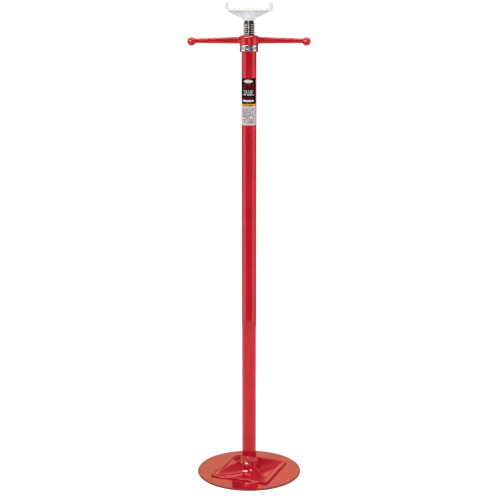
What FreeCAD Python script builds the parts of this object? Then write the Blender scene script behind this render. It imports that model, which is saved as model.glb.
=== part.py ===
"""High-reach support stand: a tall post on a round foot, with a screw-lifted saddle.

Millimetres.  The origin is the middle of the foot's underside, +Z is up, +X runs along
the handle's arms and the saddle's ears, and -Y is the front, where the keyway faces.
"""

import FreeCAD, Part
import Sketcher
import math
import os

DIMENSIONS = {
    # foot
    "plate_radius": 155.0,
    "plate_thickness": 4.0,
    "plate_edge_round": 1.2,
    "sheet_thickness": 3.0,
    "pedestal_half_side": 90.0,
    "pedestal_corner_round": 6.0,
    "pedestal_turn": -20.6,
    "rim_height": 5.6,
    "rim_width": 16.0,
    "ridge_inner_reach": 24.0,
    "ridge_outer_reach": 114.0,
    "ridge_inner_height": 37.5,
    "ridge_outer_height": 6.2,
    "ridge_inner_half_base": 26.0,
    "ridge_outer_half_base": 15.0,
    "ridge_half_crest": 3.0,
    "boss_radius": 29.0,
    "boss_wall_height": 30.0,
    "boss_height": 39.0,
    "neck_radius": 24.5,
    "neck_height": 47.0,
    "stitch_length": 30.0,
    "stitch_throat": 3.5,
    "stitch_offset": 50.0,
    "foot_weld_throat": 3.2,
    # post
    "tube_radius": 21.0,
    "tube_wall": 2.5,
    "tube_top": 1268.0,
    "tube_hole_gap": 0.2,
    "collar_radius": 26.0,
    "collar_thickness": 3.0,
    "spigot_length": 28.0,
    "spigot_gap": 0.1,
    "guide_bore_gap": 0.3,
    # labels on the post
    "label_thickness": 0.25,
    "label_seat_gap": 0.02,
    "label_bottom": 1121.6,
    "label_height": 72.6,
    "label_start": 197.0,
    "label_sweep": 132.0,
    "data_label_height": 61.0,
    "data_label_start": 195.0,
    "data_label_sweep": 137.0,
    # thrust bearing
    "bearing_inner_radius": 17.5,
    "bearing_outer_radius": 26.0,
    "race_thickness": 5.9,
    "race_gap": 4.6,
    "race_edge_chamfer": 0.6,
    "ball_radius": 3.572,
    "ball_pitch_radius": 21.75,
    "ball_count": 16.0,
    "ball_gap": 0.03,
    "cage_thickness": 2.4,
    "cage_half_width": 4.15,
    # spinner handle
    "hub_radius": 26.5,
    "hub_height": 26.3,
    "hub_top_chamfer": 3.0,
    "hub_bottom_chamfer": 1.0,
    "handle_bore_gap": 0.05,
    "arm_inner_reach": 18.0,
    "arm_outer_reach": 154.0,
    "arm_inner_half_height": 9.6,
    "arm_outer_half_height": 6.5,
    "arm_inner_half_depth": 7.6,
    "arm_outer_half_depth": 5.6,
    "arm_inner_level": 12.8,
    "arm_outer_level": 10.9,
    "knob_radius": 12.0,
    "knob_reach": 162.5,
    "knob_level": 9.0,
    # lift screw
    "screw_radius": 16.0,
    "screw_thread_top": 1351.5,
    "screw_thread_bottom": 613.5,
    "screw_neck_radius": 13.0,
    "screw_end_chamfer": 1.5,
    "keyway_width": 8.0,
    "keyway_depth": 4.0,
    "key_side_gap": 0.1,
    "key_tip_gap": 0.4,
    "key_end_inset": 1.5,
    "key_outer_face": 17.8,
    # stop at the foot of the screw
    "stop_ring_height": 12.0,
    "stop_ring_gap": 0.3,
    "stop_spigot_radius": 11.5,
    "stop_spigot_inset": 0.5,
    "stop_washer_radius": 17.0,
    "stop_washer_thickness": 3.0,
    "stop_bolt_radius": 6.0,
    "stop_bolt_length": 26.0,
    "stop_bolt_flats": 19.0,
    "stop_bolt_head": 7.5,
    "lock_washer_radius": 10.5,
    "lock_washer_thickness": 2.5,
    "lock_washer_slit": 2.0,
    # saddle
    "saddle_bottom": 1356.0,
    "saddle_hub_radius": 18.0,
    "saddle_half_length": 67.5,
    "saddle_half_depth": 23.0,
    "saddle_floor": 32.1,
    "saddle_plate": 5.0,
    "saddle_corner_run": 5.5,
    "saddle_corner_rise": 6.5,
    "saddle_web_half_depth": 7.0,
    "saddle_web_reach": 56.0,
    "saddle_web_top": 23.5,
    "saddle_web_foot": 2.0,
    "ear_top": 49.0,
    "ear_root_thickness": 12.0,
    "ear_tip_thickness": 6.0,
    "pin_radius": 10.0,
    "pin_gap": 0.05,
    "pin_length": 20.0,
    "socket_depth": 21.0,
    "set_bolt_level": 10.5,
    "set_bolt_radius": 4.0,
    "set_bolt_gap": 0.05,
    "set_bolt_depth": 6.0,
    "set_bolt_flats": 13.0,
    "set_bolt_head": 5.5,
    "set_washer_radius": 7.2,
    "set_washer_thickness": 2.0,
    "set_seat_face": 17.2,
}

doc = FreeCAD.newDocument("support_stand")
sizes = doc.addObject("Spreadsheet::Sheet", "sizes")
for row, (alias, value) in enumerate(DIMENSIONS.items(), start=1):
    sizes.set(f"A{row}", alias)
    sizes.set(f"B{row}", f"{value:g}")
    sizes.setAlias(f"B{row}", alias)
doc.recompute()

subparts = []


def bound(expression):
    """The same expression with each sheet alias written as the sheet's own cell."""
    words = expression.split()
    return " ".join(f"sizes.{word}" if word in DIMENSIONS else word for word in words)


def bind(target, **properties):
    """Ties properties of an object to expressions of the sheet's aliases."""
    for name, expression in properties.items():
        target.setExpression(name, bound(expression))


def place(target, level=None, turn=None, **base):
    """Puts a piece at its height and turn, both tied to the sheet."""
    if level is not None:
        target.setExpression("Placement.Base.z", bound(level))
    for letter, expression in base.items():
        target.setExpression(f"Placement.Base.{letter}", bound(expression))
    if turn is not None:
        target.Placement.Rotation = FreeCAD.Rotation(FreeCAD.Vector(0, 0, 1), turn)


def subpart(target, label):
    """Names a finished piece, which also names its file."""
    target.Label = label
    subparts.append(target)
    return target


def new_body(label):
    """An empty PartDesign body that becomes one named piece."""
    return subpart(doc.addObject("PartDesign::Body", f"body_{label}"), label)


def origin_item(body, role):
    """One of the body's own planes or axes."""
    return next(item for item in body.Origin.OriginFeatures if item.Role == role)


def sketch_on(body, plane, offset=None, turn=0.0):
    """An empty sketch on one of the body's planes, moved along and turned about it."""
    sketch = body.newObject("Sketcher::SketchObject", "outline")
    sketch.AttachmentSupport = [(origin_item(body, plane), "")]
    sketch.MapMode = "FlatFace"
    sketch.AttachmentOffset = FreeCAD.Placement(
        FreeCAD.Vector(0, 0, 0), FreeCAD.Rotation(FreeCAD.Vector(0, 1, 0), turn)
    )
    if offset is not None:
        axis = sketch.AttachmentOffset.Rotation.multVec(FreeCAD.Vector(0, 0, 1))
        for letter, share in zip("xyz", axis):
            if abs(share) > 1e-9:
                sketch.setExpression(
                    f"AttachmentOffset.Base.{letter}", f"({bound(offset)}) * {share:.9f}"
                )
    return sketch


def outline(sketch, corners):
    """A closed polygon whose corners are pairs of expressions of the sheet's aliases."""
    count = len(corners)
    start = sketch.GeometryCount
    ring = [
        FreeCAD.Vector(math.cos(2 * math.pi * i / count), math.sin(2 * math.pi * i / count), 0)
        for i in range(count)
    ]
    for i in range(count):
        sketch.addGeometry(Part.LineSegment(ring[i], ring[(i + 1) % count]), False)
    for i in range(count):
        following = start + (i + 1) % count
        sketch.addConstraint(Sketcher.Constraint("Coincident", start + i, 2, following, 1))
    for i, corner in enumerate(corners):
        for kind, expression in zip(("DistanceX", "DistanceY"), corner):
            index = sketch.addConstraint(Sketcher.Constraint(kind, start + i, 1, 1.0))
            sketch.setExpression(f"Constraints[{index}]", bound(expression))
    return sketch


def turned(body, corners, cut=False):
    """The outline (radius, height) swept all the way round the body's own Z axis."""
    kind = "PartDesign::Groove" if cut else "PartDesign::Revolution"
    sketch = outline(sketch_on(body, "XZ_Plane"), corners)
    feature = body.newObject(kind, "turning")
    feature.Profile = sketch
    feature.ReferenceAxis = (sketch, ["V_Axis"])
    feature.Angle = 360
    return checked(body, feature, cut)


def extruded(body, sketch, length, cut=False, symmetric=False, up=True):
    """A pad or a pocket of the sketch, its length tied to the sheet."""
    feature = body.newObject("PartDesign::Pocket" if cut else "PartDesign::Pad", "extrusion")
    feature.Profile = sketch
    bind(feature, Length=length)
    if symmetric:
        feature.SideType = "Symmetric"
    feature.Reversed = up if cut else not up
    return checked(body, feature, cut)


def lofted(body, sections, cut=False):
    """A ruled loft through two sketches."""
    kind = "PartDesign::SubtractiveLoft" if cut else "PartDesign::AdditiveLoft"
    feature = body.newObject(kind, "loft")
    feature.Profile = sections[0]
    feature.Sections = sections[1:]
    feature.Ruled = True
    return checked(body, feature, cut)


def repeated(body, originals, count):
    """The same features again, evenly spaced about the body's Z axis."""
    before = originals[-1].Shape.Volume
    pattern = body.newObject("PartDesign::PolarPattern", "pattern")
    pattern.Originals = originals
    pattern.Axis = (origin_item(body, "Z_Axis"), [""])
    pattern.Angle = 360
    pattern.Occurrences = count
    body.Tip = pattern
    doc.recompute()
    if abs(pattern.Shape.Volume - before) < 1e-6:
        raise RuntimeError(f"{body.Label}: a pattern changed nothing")
    return pattern


def checked(body, feature, cut):
    """Recomputes, and makes sure that a cut removed metal and an addition added some."""
    base = feature.BaseFeature
    before = base.Shape.Volume if base else 0.0
    body.Tip = feature
    doc.recompute()
    gained = feature.Shape.Volume - before
    if (gained >= -1e-6) if cut else (gained <= 1e-6):
        raise RuntimeError(f"{body.Label}: {feature.Name} changed the volume by {gained:.3f}")
    return feature


def upright_edges(shape, reach):
    """The vertical edges at least that far from the Z axis."""
    names = []
    for number, edge in enumerate(shape.Edges, start=1):
        ends = [vertex.Point for vertex in edge.Vertexes]
        if len(ends) == 2 and abs(ends[0].z - ends[1].z) > 0.9 * edge.Length:
            if math.hypot(ends[0].x, ends[0].y) >= reach:
                names.append(f"Edge{number}")
    return names


def round_edges(shape, radius, level):
    """The full circles of that radius at that height."""
    names = []
    for number, edge in enumerate(shape.Edges, start=1):
        curve = edge.Curve
        if isinstance(curve, Part.Circle) and abs(curve.Radius - radius) < 1e-6:
            if abs(edge.CenterOfMass.z - level) < 1e-6:
                names.append(f"Edge{number}")
    return names


def filleted(body, feature, names, radius):
    """Rounds the named edges of a feature."""
    fillet = body.newObject("PartDesign::Fillet", "rounding")
    fillet.Base = (feature, names)
    bind(fillet, Radius=radius)
    return checked(body, fillet, cut=True)


def ring(label, inner, outer, height, level):
    """A plain turned ring standing at a level."""
    body = new_body(label)
    turned(body, [(inner, "0"), (outer, "0"), (outer, height), (inner, height)])
    place(body, level)
    return body


def rectangle(half_x, half_y):
    """A centred rectangle's corners."""
    return [
        (f"- {half_x}", f"- {half_y}"),
        (half_x, f"- {half_y}"),
        (half_x, half_y),
        (f"- {half_x}", half_y),
    ]


def hexagon(flats):
    """A centred hexagon's corners, with two flats facing along the second axis."""
    corner = f"{flats} / 1.7320508"
    half = f"{flats} / 2"
    return [
        (corner, "0"),
        (f"{corner} / 2", half),
        (f"- {corner} / 2", half),
        (f"- {corner}", "0"),
        (f"- {corner} / 2", f"- {half}"),
        (f"{corner} / 2", f"- {half}"),
    ]


# ---------------------------------------------------------------- foot


def base_plate():
    """Round steel plate that stands on the floor."""
    body = new_body("base_plate")
    disc = turned(
        body,
        [
            ("0", "0"),
            ("plate_radius", "0"),
            ("plate_radius", "plate_thickness"),
            ("0", "plate_thickness"),
        ],
    )
    rim = round_edges(disc.Shape, sizes.plate_radius, sizes.plate_thickness)
    filleted(body, disc, rim, "plate_edge_round")


def ridge_section(body, reach, half_base, half_crest, height):
    """A trapezoid across one diagonal of the pedestal."""
    sketch = sketch_on(body, "XZ_Plane", offset=reach, turn=45.0)
    return outline(
        sketch,
        [
            (f"- ( {half_base} )", "0"),
            (half_base, "0"),
            (half_crest, height),
            (f"- ( {half_crest} )", height),
        ],
    )


def base_pedestal():
    """Pressed sheet pyramid: raised rim, four low panels, four ridges and a boss."""
    body = new_body("base_pedestal")
    side = "pedestal_half_side"
    square = outline(sketch_on(body, "XY_Plane"), rectangle(side, side))
    skirt = extruded(body, square, "rim_height")
    corners = upright_edges(skirt.Shape, sizes.pedestal_half_side)
    filleted(body, skirt, corners, "pedestal_corner_round")

    edge = "pedestal_half_side - rim_width"
    start = "ridge_inner_half_base * 1.4142136"
    panel = outline(
        sketch_on(body, "XY_Plane", offset="rim_height"),
        [
            ("0", start),
            (f"{edge} - {start}", edge),
            (f"{start} - ( {edge} )", edge),
        ],
    )
    recess = extruded(body, panel, "rim_height - sheet_thickness", cut=True, up=False)
    repeated(body, [recess], 4)

    crest = "ridge_half_crest"
    ridge = lofted(
        body,
        [
            ridge_section(body, "ridge_inner_reach", "ridge_inner_half_base", crest, "ridge_inner_height"),
            ridge_section(body, "ridge_outer_reach", "ridge_outer_half_base", crest, "ridge_outer_height"),
        ],
    )
    repeated(body, [ridge], 4)

    turned(
        body,
        [
            ("0", "0"),
            ("boss_radius", "0"),
            ("boss_radius", "boss_wall_height"),
            ("neck_radius", "boss_height"),
            ("neck_radius", "neck_height"),
            ("0", "neck_height"),
        ],
    )

    inner = "pedestal_half_side - rim_width + sheet_thickness"
    outer = "pedestal_half_side - sheet_thickness"
    channel = sketch_on(body, "XY_Plane")
    outline(channel, rectangle(f"( {outer} )", f"( {outer} )"))
    outline(channel, rectangle(f"( {inner} )", f"( {inner} )"))
    extruded(body, channel, "rim_height - sheet_thickness", cut=True, up=True)

    skin = "sheet_thickness"
    hollow = lofted(
        body,
        [
            ridge_section(
                body,
                "ridge_inner_reach",
                f"ridge_inner_half_base - {skin}",
                f"{crest} - {skin} / 2",
                f"ridge_inner_height - {skin}",
            ),
            ridge_section(
                body,
                f"ridge_outer_reach - 4 * {skin}",
                f"ridge_outer_half_base - {skin}",
                f"{crest} - {skin} / 2",
                f"ridge_outer_height - {skin} / 2",
            ),
        ],
        cut=True,
    )
    repeated(body, [hollow], 4)

    passage = "tube_radius + tube_hole_gap"
    turned(
        body,
        [
            ("0", "0"),
            (f"boss_radius - {skin}", "0"),
            (f"boss_radius - {skin}", f"boss_wall_height - {skin}"),
            (passage, f"boss_height - {skin}"),
            (passage, "neck_height"),
            ("0", "neck_height"),
        ],
        cut=True,
    )
    place(body, "plate_thickness", turn=sizes.pedestal_turn)


def pedestal_welds():
    """Eight short fillet welds between the pedestal's rim and the plate."""
    beads = []
    for side in range(4):
        for offset in (-1, 1):
            bead = doc.addObject("Part::Cylinder", "stitch")
            bind(bead, Radius="stitch_throat", Height="stitch_length")
            bead.Angle = 90
            along = offset * sizes.stitch_offset - sizes.stitch_length / 2
            spot = FreeCAD.Vector(along, -sizes.pedestal_half_side, 0)
            lying = FreeCAD.Rotation(
                FreeCAD.Vector(0, 0, 1), FreeCAD.Vector(0, -1, 0), FreeCAD.Vector(1, 0, 0), "ZXY"
            )
            quarter = FreeCAD.Rotation(FreeCAD.Vector(0, 0, 1), 90 * side)
            bead.Placement = FreeCAD.Placement(quarter.multVec(spot), quarter * lying)
            beads.append(bead)
    group = doc.addObject("Part::Compound", "stitches")
    group.Links = beads
    place(group, "plate_thickness", turn=sizes.pedestal_turn)
    subpart(group, "pedestal_welds")


def post_foot_weld():
    """Fillet weld round the post where it leaves the pedestal."""
    body = new_body("post_foot_weld")
    seat = "tube_radius + label_seat_gap"
    turned(
        body,
        [
            (seat, "0"),
            ("tube_radius + foot_weld_throat", "0"),
            (seat, "foot_weld_throat"),
        ],
    )
    place(body, "plate_thickness + neck_height")


# ---------------------------------------------------------------- post


def post_tube():
    """The tall round tube."""
    ring(
        "post_tube",
        "tube_radius - tube_wall",
        "tube_radius",
        "tube_top - plate_thickness",
        "plate_thickness",
    )


def post_top_collar():
    """Flanged guide pressed into the tube's mouth, with a slot for the key."""
    body = new_body("post_top_collar")
    bore = "screw_radius + guide_bore_gap"
    spigot = "tube_radius - tube_wall - spigot_gap"
    turned(
        body,
        [
            (bore, "- spigot_length"),
            (spigot, "- spigot_length"),
            (spigot, "0"),
            ("collar_radius", "0"),
            ("collar_radius", "collar_thickness"),
            (bore, "collar_thickness"),
        ],
    )
    slot = outline(
        sketch_on(body, "XY_Plane"),
        [
            ("- keyway_width / 2", "- collar_radius"),
            ("keyway_width / 2", "- collar_radius"),
            ("keyway_width / 2", "- screw_radius + keyway_depth"),
            ("- keyway_width / 2", "- screw_radius + keyway_depth"),
        ],
    )
    extruded(body, slot, "spigot_length", cut=True, up=False)
    place(body, "tube_top")


def guide_key():
    """Key held in the collar's slot; it rides in the keyway and keeps the screw from turning."""
    body = new_body("guide_key")
    half = "keyway_width / 2 - key_side_gap"
    sketch = outline(
        sketch_on(body, "XY_Plane"),
        [
            (f"- ( {half} )", "- key_outer_face"),
            (half, "- key_outer_face"),
            (half, "- screw_radius + keyway_depth - key_tip_gap"),
            (f"- ( {half} )", "- screw_radius + keyway_depth - key_tip_gap"),
        ],
    )
    extruded(body, sketch, "spigot_length - key_end_inset")
    place(body, "tube_top - spigot_length + key_end_inset")


def label(name, bottom, height, start, sweep):
    """A thin label wrapped part of the way round the post."""
    skins = []
    for reach in ("label_seat_gap + label_thickness", "label_seat_gap"):
        skin = doc.addObject("Part::Cylinder", "sector")
        bind(skin, Radius=f"tube_radius + {reach}", Height=height, Angle=sweep)
        skins.append(skin)
    film = doc.addObject("Part::Cut", "film")
    film.Base, film.Tool = skins
    place(film, bottom, turn=start)
    subpart(film, name)


# ---------------------------------------------------------------- thrust bearing


def bearing_race(name, level, upper):
    """A grooved washer; the groove follows the balls with a running gap."""
    body = new_body(name)
    inner, outer = "bearing_inner_radius", "bearing_outer_radius"
    cut = "race_edge_chamfer"
    turned(
        body,
        [
            (f"{inner} + {cut}", "0"),
            (f"{outer} - {cut}", "0"),
            (outer, cut),
            (outer, f"race_thickness - {cut}"),
            (f"{outer} - {cut}", "race_thickness"),
            (f"{inner} + {cut}", "race_thickness"),
            (inner, f"race_thickness - {cut}"),
            (inner, cut),
        ],
    )
    sketch = sketch_on(body, "XZ_Plane")
    centre = "- race_gap / 2" if upper else "race_thickness + race_gap / 2"
    circle = Part.Circle(FreeCAD.Vector(1, 1, 0), FreeCAD.Vector(0, 0, 1), 1)
    sketch.addGeometry(circle, False)
    for kind, expression in (("DistanceX", "ball_pitch_radius"), ("DistanceY", centre)):
        index = sketch.addConstraint(Sketcher.Constraint(kind, 0, 3, 1.0))
        sketch.setExpression(f"Constraints[{index}]", bound(expression))
    index = sketch.addConstraint(Sketcher.Constraint("Radius", 0, 1.0))
    sketch.setExpression(f"Constraints[{index}]", bound("ball_radius + ball_gap"))
    groove = body.newObject("PartDesign::Groove", "ball_track")
    groove.Profile = sketch
    groove.ReferenceAxis = (sketch, ["V_Axis"])
    groove.Angle = 360
    checked(body, groove, cut=True)
    place(body, level)


BALL_LEVEL = "tube_top + collar_thickness + race_thickness + race_gap / 2"


def bearing_cage():
    """Flat ring with a pocket for each ball."""
    body = new_body("bearing_cage")
    inner = "ball_pitch_radius - cage_half_width"
    outer = "ball_pitch_radius + cage_half_width"
    half = "cage_thickness / 2"
    turned(body, [(inner, f"- {half}"), (outer, f"- {half}"), (outer, half), (inner, half)])
    sketch = sketch_on(body, "XY_Plane")
    circle = Part.Circle(FreeCAD.Vector(1, 0, 0), FreeCAD.Vector(0, 0, 1), 1)
    sketch.addGeometry(circle, False)
    sketch.addConstraint(Sketcher.Constraint("PointOnObject", 0, 3, -1))
    index = sketch.addConstraint(Sketcher.Constraint("DistanceX", 0, 3, 1.0))
    sketch.setExpression(f"Constraints[{index}]", bound("ball_pitch_radius"))
    index = sketch.addConstraint(Sketcher.Constraint("Radius", 0, 1.0))
    sketch.setExpression(f"Constraints[{index}]", bound("ball_radius + 2 * ball_gap"))
    pocket = extruded(body, sketch, "cage_thickness * 2", cut=True, symmetric=True)
    repeated(body, [pocket], int(sizes.ball_count))
    place(body, BALL_LEVEL)


def bearing_balls():
    """The bearing's balls, evenly spaced on their pitch circle."""
    balls = []
    for number in range(int(sizes.ball_count)):
        ball = doc.addObject("Part::Sphere", "ball")
        bind(ball, Radius="ball_radius")
        angle = 2 * math.pi * number / sizes.ball_count
        reach = sizes.ball_pitch_radius
        ball.Placement.Base = FreeCAD.Vector(reach * math.cos(angle), reach * math.sin(angle), 0)
        balls.append(ball)
    group = doc.addObject("Part::Compound", "ball_set")
    group.Links = balls
    place(group, BALL_LEVEL)
    subpart(group, "bearing_balls")


# ---------------------------------------------------------------- spinner handle

HANDLE_LEVEL = "tube_top + collar_thickness + 2 * race_thickness + race_gap"


def handle_arm(side):
    """One tapered arm, oval in section, from inside the hub to inside its knob."""
    sections = []
    for end in ("inner", "outer"):
        oval = doc.addObject("Part::Ellipse", "oval")
        bind(oval, MajorRadius=f"arm_{end}_half_height", MinorRadius=f"arm_{end}_half_depth")
        oval.Placement.Rotation = FreeCAD.Rotation(
            FreeCAD.Vector(0, 0, 1), FreeCAD.Vector(0, 1, 0), FreeCAD.Vector(1, 0, 0), "XZY"
        )
        oval.setExpression("Placement.Base.x", bound(f"{side} * arm_{end}_reach"))
        oval.setExpression("Placement.Base.z", bound(f"arm_{end}_level"))
        sections.append(oval)
    arm = doc.addObject("Part::Loft", "arm")
    arm.Sections = sections
    arm.Solid = True
    arm.Ruled = True
    return arm


def spinner_handle():
    """Cast nut: a round hub, two tapered arms and a knob on each."""
    hub = doc.addObject("Part::Cylinder", "hub")
    bind(hub, Radius="hub_radius", Height="hub_height - hub_top_chamfer - hub_bottom_chamfer")
    place(hub, "hub_bottom_chamfer")
    pieces = [hub]
    cones = (
        ("hub_radius - hub_bottom_chamfer", "hub_radius", "hub_bottom_chamfer", "0"),
        ("hub_radius", "hub_radius - hub_top_chamfer", "hub_top_chamfer", "hub_height - hub_top_chamfer"),
    )
    for low, high, height, level in cones:
        cone = doc.addObject("Part::Cone", "hub_edge")
        bind(cone, Radius1=low, Radius2=high, Height=height)
        place(cone, level)
        pieces.append(cone)
    for side in (-1, 1):
        pieces.append(handle_arm(side))
        knob = doc.addObject("Part::Sphere", "knob")
        bind(knob, Radius="knob_radius")
        place(knob, "knob_level", x=f"{side} * knob_reach")
        pieces.append(knob)
    casting = doc.addObject("Part::MultiFuse", "casting")
    casting.Shapes = pieces
    casting.Refine = True
    bore = doc.addObject("Part::Cylinder", "nut_bore")
    bind(bore, Radius="screw_radius + handle_bore_gap", Height="hub_height * 2")
    place(bore, "- hub_height / 2")
    handle = doc.addObject("Part::Cut", "handle_casting")
    handle.Base = casting
    handle.Tool = bore
    place(handle, HANDLE_LEVEL)
    subpart(handle, "spinner_handle")


# ---------------------------------------------------------------- screw and its stop


def lift_screw():
    """Plain bar at the thread's major size, with the keyway, saddle pin and lower spigot."""
    body = new_body("lift_screw")
    top = "screw_thread_top - screw_thread_bottom"
    shoulder = "saddle_bottom - screw_thread_bottom"
    tip = f"{shoulder} + pin_length"
    foot = "stop_ring_height - stop_spigot_inset"
    bolt = "stop_bolt_radius + pin_gap"
    chamfer = "screw_end_chamfer"
    turned(
        body,
        [
            (bolt, f"- ( {foot} )"),
            ("stop_spigot_radius", f"- ( {foot} )"),
            ("stop_spigot_radius", "0"),
            (f"screw_radius - {chamfer}", "0"),
            ("screw_radius", chamfer),
            ("screw_radius", f"{top} - {chamfer}"),
            (f"screw_radius - {chamfer}", top),
            ("screw_neck_radius", top),
            ("screw_neck_radius", shoulder),
            ("pin_radius", shoulder),
            ("pin_radius", f"{tip} - 1"),
            ("pin_radius - 1", tip),
            ("0", tip),
            ("0", "stop_bolt_length"),
            (bolt, "stop_bolt_length"),
        ],
    )
    keyway = outline(
        sketch_on(body, "XY_Plane"),
        [
            ("- keyway_width / 2", "- screw_radius - 1"),
            ("keyway_width / 2", "- screw_radius - 1"),
            ("keyway_width / 2", "- screw_radius + keyway_depth"),
            ("- keyway_width / 2", "- screw_radius + keyway_depth"),
        ],
    )
    extruded(body, keyway, top, cut=True, up=True)
    dimple = sketch_on(body, "XZ_Plane", offset="pin_radius - set_bolt_depth")
    circle_on(dimple, "0", f"{shoulder} + set_bolt_level", "set_bolt_radius + set_bolt_gap")
    extruded(body, dimple, "set_bolt_depth * 2", cut=True, up=True)
    place(body, "screw_thread_bottom")


def circle_on(sketch, across, up, radius):
    """A circle whose centre and radius are tied to the sheet."""
    index = sketch.addGeometry(
        Part.Circle(FreeCAD.Vector(1, 1, 0), FreeCAD.Vector(0, 0, 1), 1), False
    )
    for kind, expression in (("DistanceX", across), ("DistanceY", up)):
        number = sketch.addConstraint(Sketcher.Constraint(kind, index, 3, 1.0))
        sketch.setExpression(f"Constraints[{number}]", bound(expression))
    number = sketch.addConstraint(Sketcher.Constraint("Radius", index, 1.0))
    sketch.setExpression(f"Constraints[{number}]", bound(radius))
    return sketch


STOP_LEVEL = "screw_thread_bottom - stop_ring_height"


def lock_washer(name, inner, outer, thickness, slit):
    """A split spring washer, lying flat at the body's own origin."""
    body = new_body(name)
    turned(body, [(inner, "0"), (outer, "0"), (outer, thickness), (inner, thickness)])
    sketch = outline(
        sketch_on(body, "XY_Plane"),
        [
            ("0", f"- {slit} / 2"),
            (f"{outer} * 2", f"- {slit} / 2"),
            (f"{outer} * 2", f"{slit} / 2"),
            ("0", f"{slit} / 2"),
        ],
    )
    extruded(body, sketch, thickness, cut=True, up=True)
    return body


def hex_bolt(name, radius, length, flats, head):
    """A hexagon bolt standing on its head at the body's own origin."""
    body = new_body(name)
    extruded(body, outline(sketch_on(body, "XY_Plane"), hexagon(flats)), head)
    turned(body, [("0", head), (radius, head), (radius, f"{head} + {length}"), ("0", f"{head} + {length}")])
    return body


def screw_stop():
    """Guide ring, washer, spring washer and bolt at the lower end of the screw."""
    ring(
        "screw_guide_ring",
        "stop_spigot_radius + pin_gap",
        "tube_radius - tube_wall - stop_ring_gap",
        "stop_ring_height",
        STOP_LEVEL,
    )
    washer_level = f"{STOP_LEVEL} - stop_washer_thickness"
    bolt_hole = "stop_bolt_radius + pin_gap"
    ring("stop_washer", bolt_hole, "stop_washer_radius", "stop_washer_thickness", washer_level)
    spring_level = f"{washer_level} - lock_washer_thickness"
    spring = lock_washer(
        "stop_lock_washer",
        bolt_hole,
        "lock_washer_radius",
        "lock_washer_thickness",
        "lock_washer_slit",
    )
    place(spring, spring_level)
    bolt = hex_bolt(
        "stop_bolt", "stop_bolt_radius", "stop_bolt_length", "stop_bolt_flats", "stop_bolt_head"
    )
    place(bolt, f"{spring_level} - stop_bolt_head")


# ---------------------------------------------------------------- saddle


def saddle():
    """Forged cradle: a floor between two upright ears, a web below and a round hub."""
    body = new_body("saddle")
    end, floor, plate = "saddle_half_length", "saddle_floor", "saddle_plate"
    under = f"{floor} - {plate}"
    half = [
        (f"{end} - saddle_corner_run", under),
        (end, f"{under} + saddle_corner_rise"),
        (end, "ear_top - 2"),
        (f"{end} - 2", "ear_top"),
        (f"{end} - ear_tip_thickness", "ear_top"),
        (f"{end} - ear_root_thickness", floor),
    ]
    mirrored = [(f"- ( {across} )", up) for across, up in reversed(half)]
    cradle = outline(sketch_on(body, "XZ_Plane"), half + mirrored)
    extruded(body, cradle, "saddle_half_depth * 2", symmetric=True)

    rib = [
        ("saddle_hub_radius - 4", "saddle_web_foot"),
        ("saddle_web_reach", "saddle_web_top"),
        ("saddle_web_reach", f"{under} + 1"),
    ]
    mirrored = [(f"- ( {across} )", up) for across, up in reversed(rib)]
    web = outline(sketch_on(body, "XZ_Plane"), rib + mirrored)
    extruded(body, web, "saddle_web_half_depth * 2", symmetric=True)

    turned(
        body,
        [
            ("0", "0"),
            ("saddle_hub_radius - 1", "0"),
            ("saddle_hub_radius", "1"),
            ("saddle_hub_radius", f"{under} + 1"),
            ("0", f"{under} + 1"),
        ],
    )
    socket = "pin_radius + pin_gap"
    turned(
        body,
        [("0", "0"), (socket, "0"), (socket, "socket_depth"), ("0", "socket_depth")],
        cut=True,
    )
    bolt_hole = circle_on(
        sketch_on(body, "XZ_Plane"), "0", "set_bolt_level", "set_bolt_radius + set_bolt_gap"
    )
    extruded(body, bolt_hole, "saddle_half_depth", cut=True, up=True)
    seat = sketch_on(body, "XZ_Plane", offset="set_seat_face")
    circle_on(seat, "0", "set_bolt_level", "set_washer_radius + 1")
    extruded(body, seat, "saddle_half_depth", cut=True, up=True)
    place(body, "saddle_bottom")


def saddle_fixing():
    """Set bolt and spring washer that hold the saddle on the screw's pin."""
    facing = FreeCAD.Rotation(FreeCAD.Vector(1, 0, 0), -90)
    level = "saddle_bottom + set_bolt_level"
    washer = lock_washer(
        "saddle_lock_washer",
        "set_bolt_radius + set_bolt_gap",
        "set_washer_radius",
        "set_washer_thickness",
        "lock_washer_slit",
    )
    bolt = hex_bolt(
        "saddle_bolt",
        "set_bolt_radius",
        "set_seat_face - pin_radius + set_bolt_depth + set_washer_thickness - 0.5",
        "set_bolt_flats",
        "set_bolt_head",
    )
    place(washer, level, y="- set_seat_face - set_washer_thickness")
    place(bolt, level, y="- set_seat_face - set_washer_thickness - set_bolt_head")
    for piece in (washer, bolt):
        piece.Placement.Rotation = facing


def build():
    """Makes every piece."""
    base_plate()
    base_pedestal()
    pedestal_welds()
    post_foot_weld()
    post_tube()
    post_top_collar()
    guide_key()
    label("front_label", "label_bottom", "label_height", sizes.label_start, "label_sweep")
    label(
        "data_label",
        "label_bottom - data_label_height",
        "data_label_height",
        sizes.data_label_start,
        "data_label_sweep",
    )
    race_level = "tube_top + collar_thickness"
    bearing_race("bearing_lower_race", race_level, upper=False)
    bearing_race("bearing_upper_race", f"{race_level} + race_thickness + race_gap", upper=True)
    bearing_cage()
    bearing_balls()
    spinner_handle()
    lift_screw()
    screw_stop()
    saddle()
    saddle_fixing()


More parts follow.
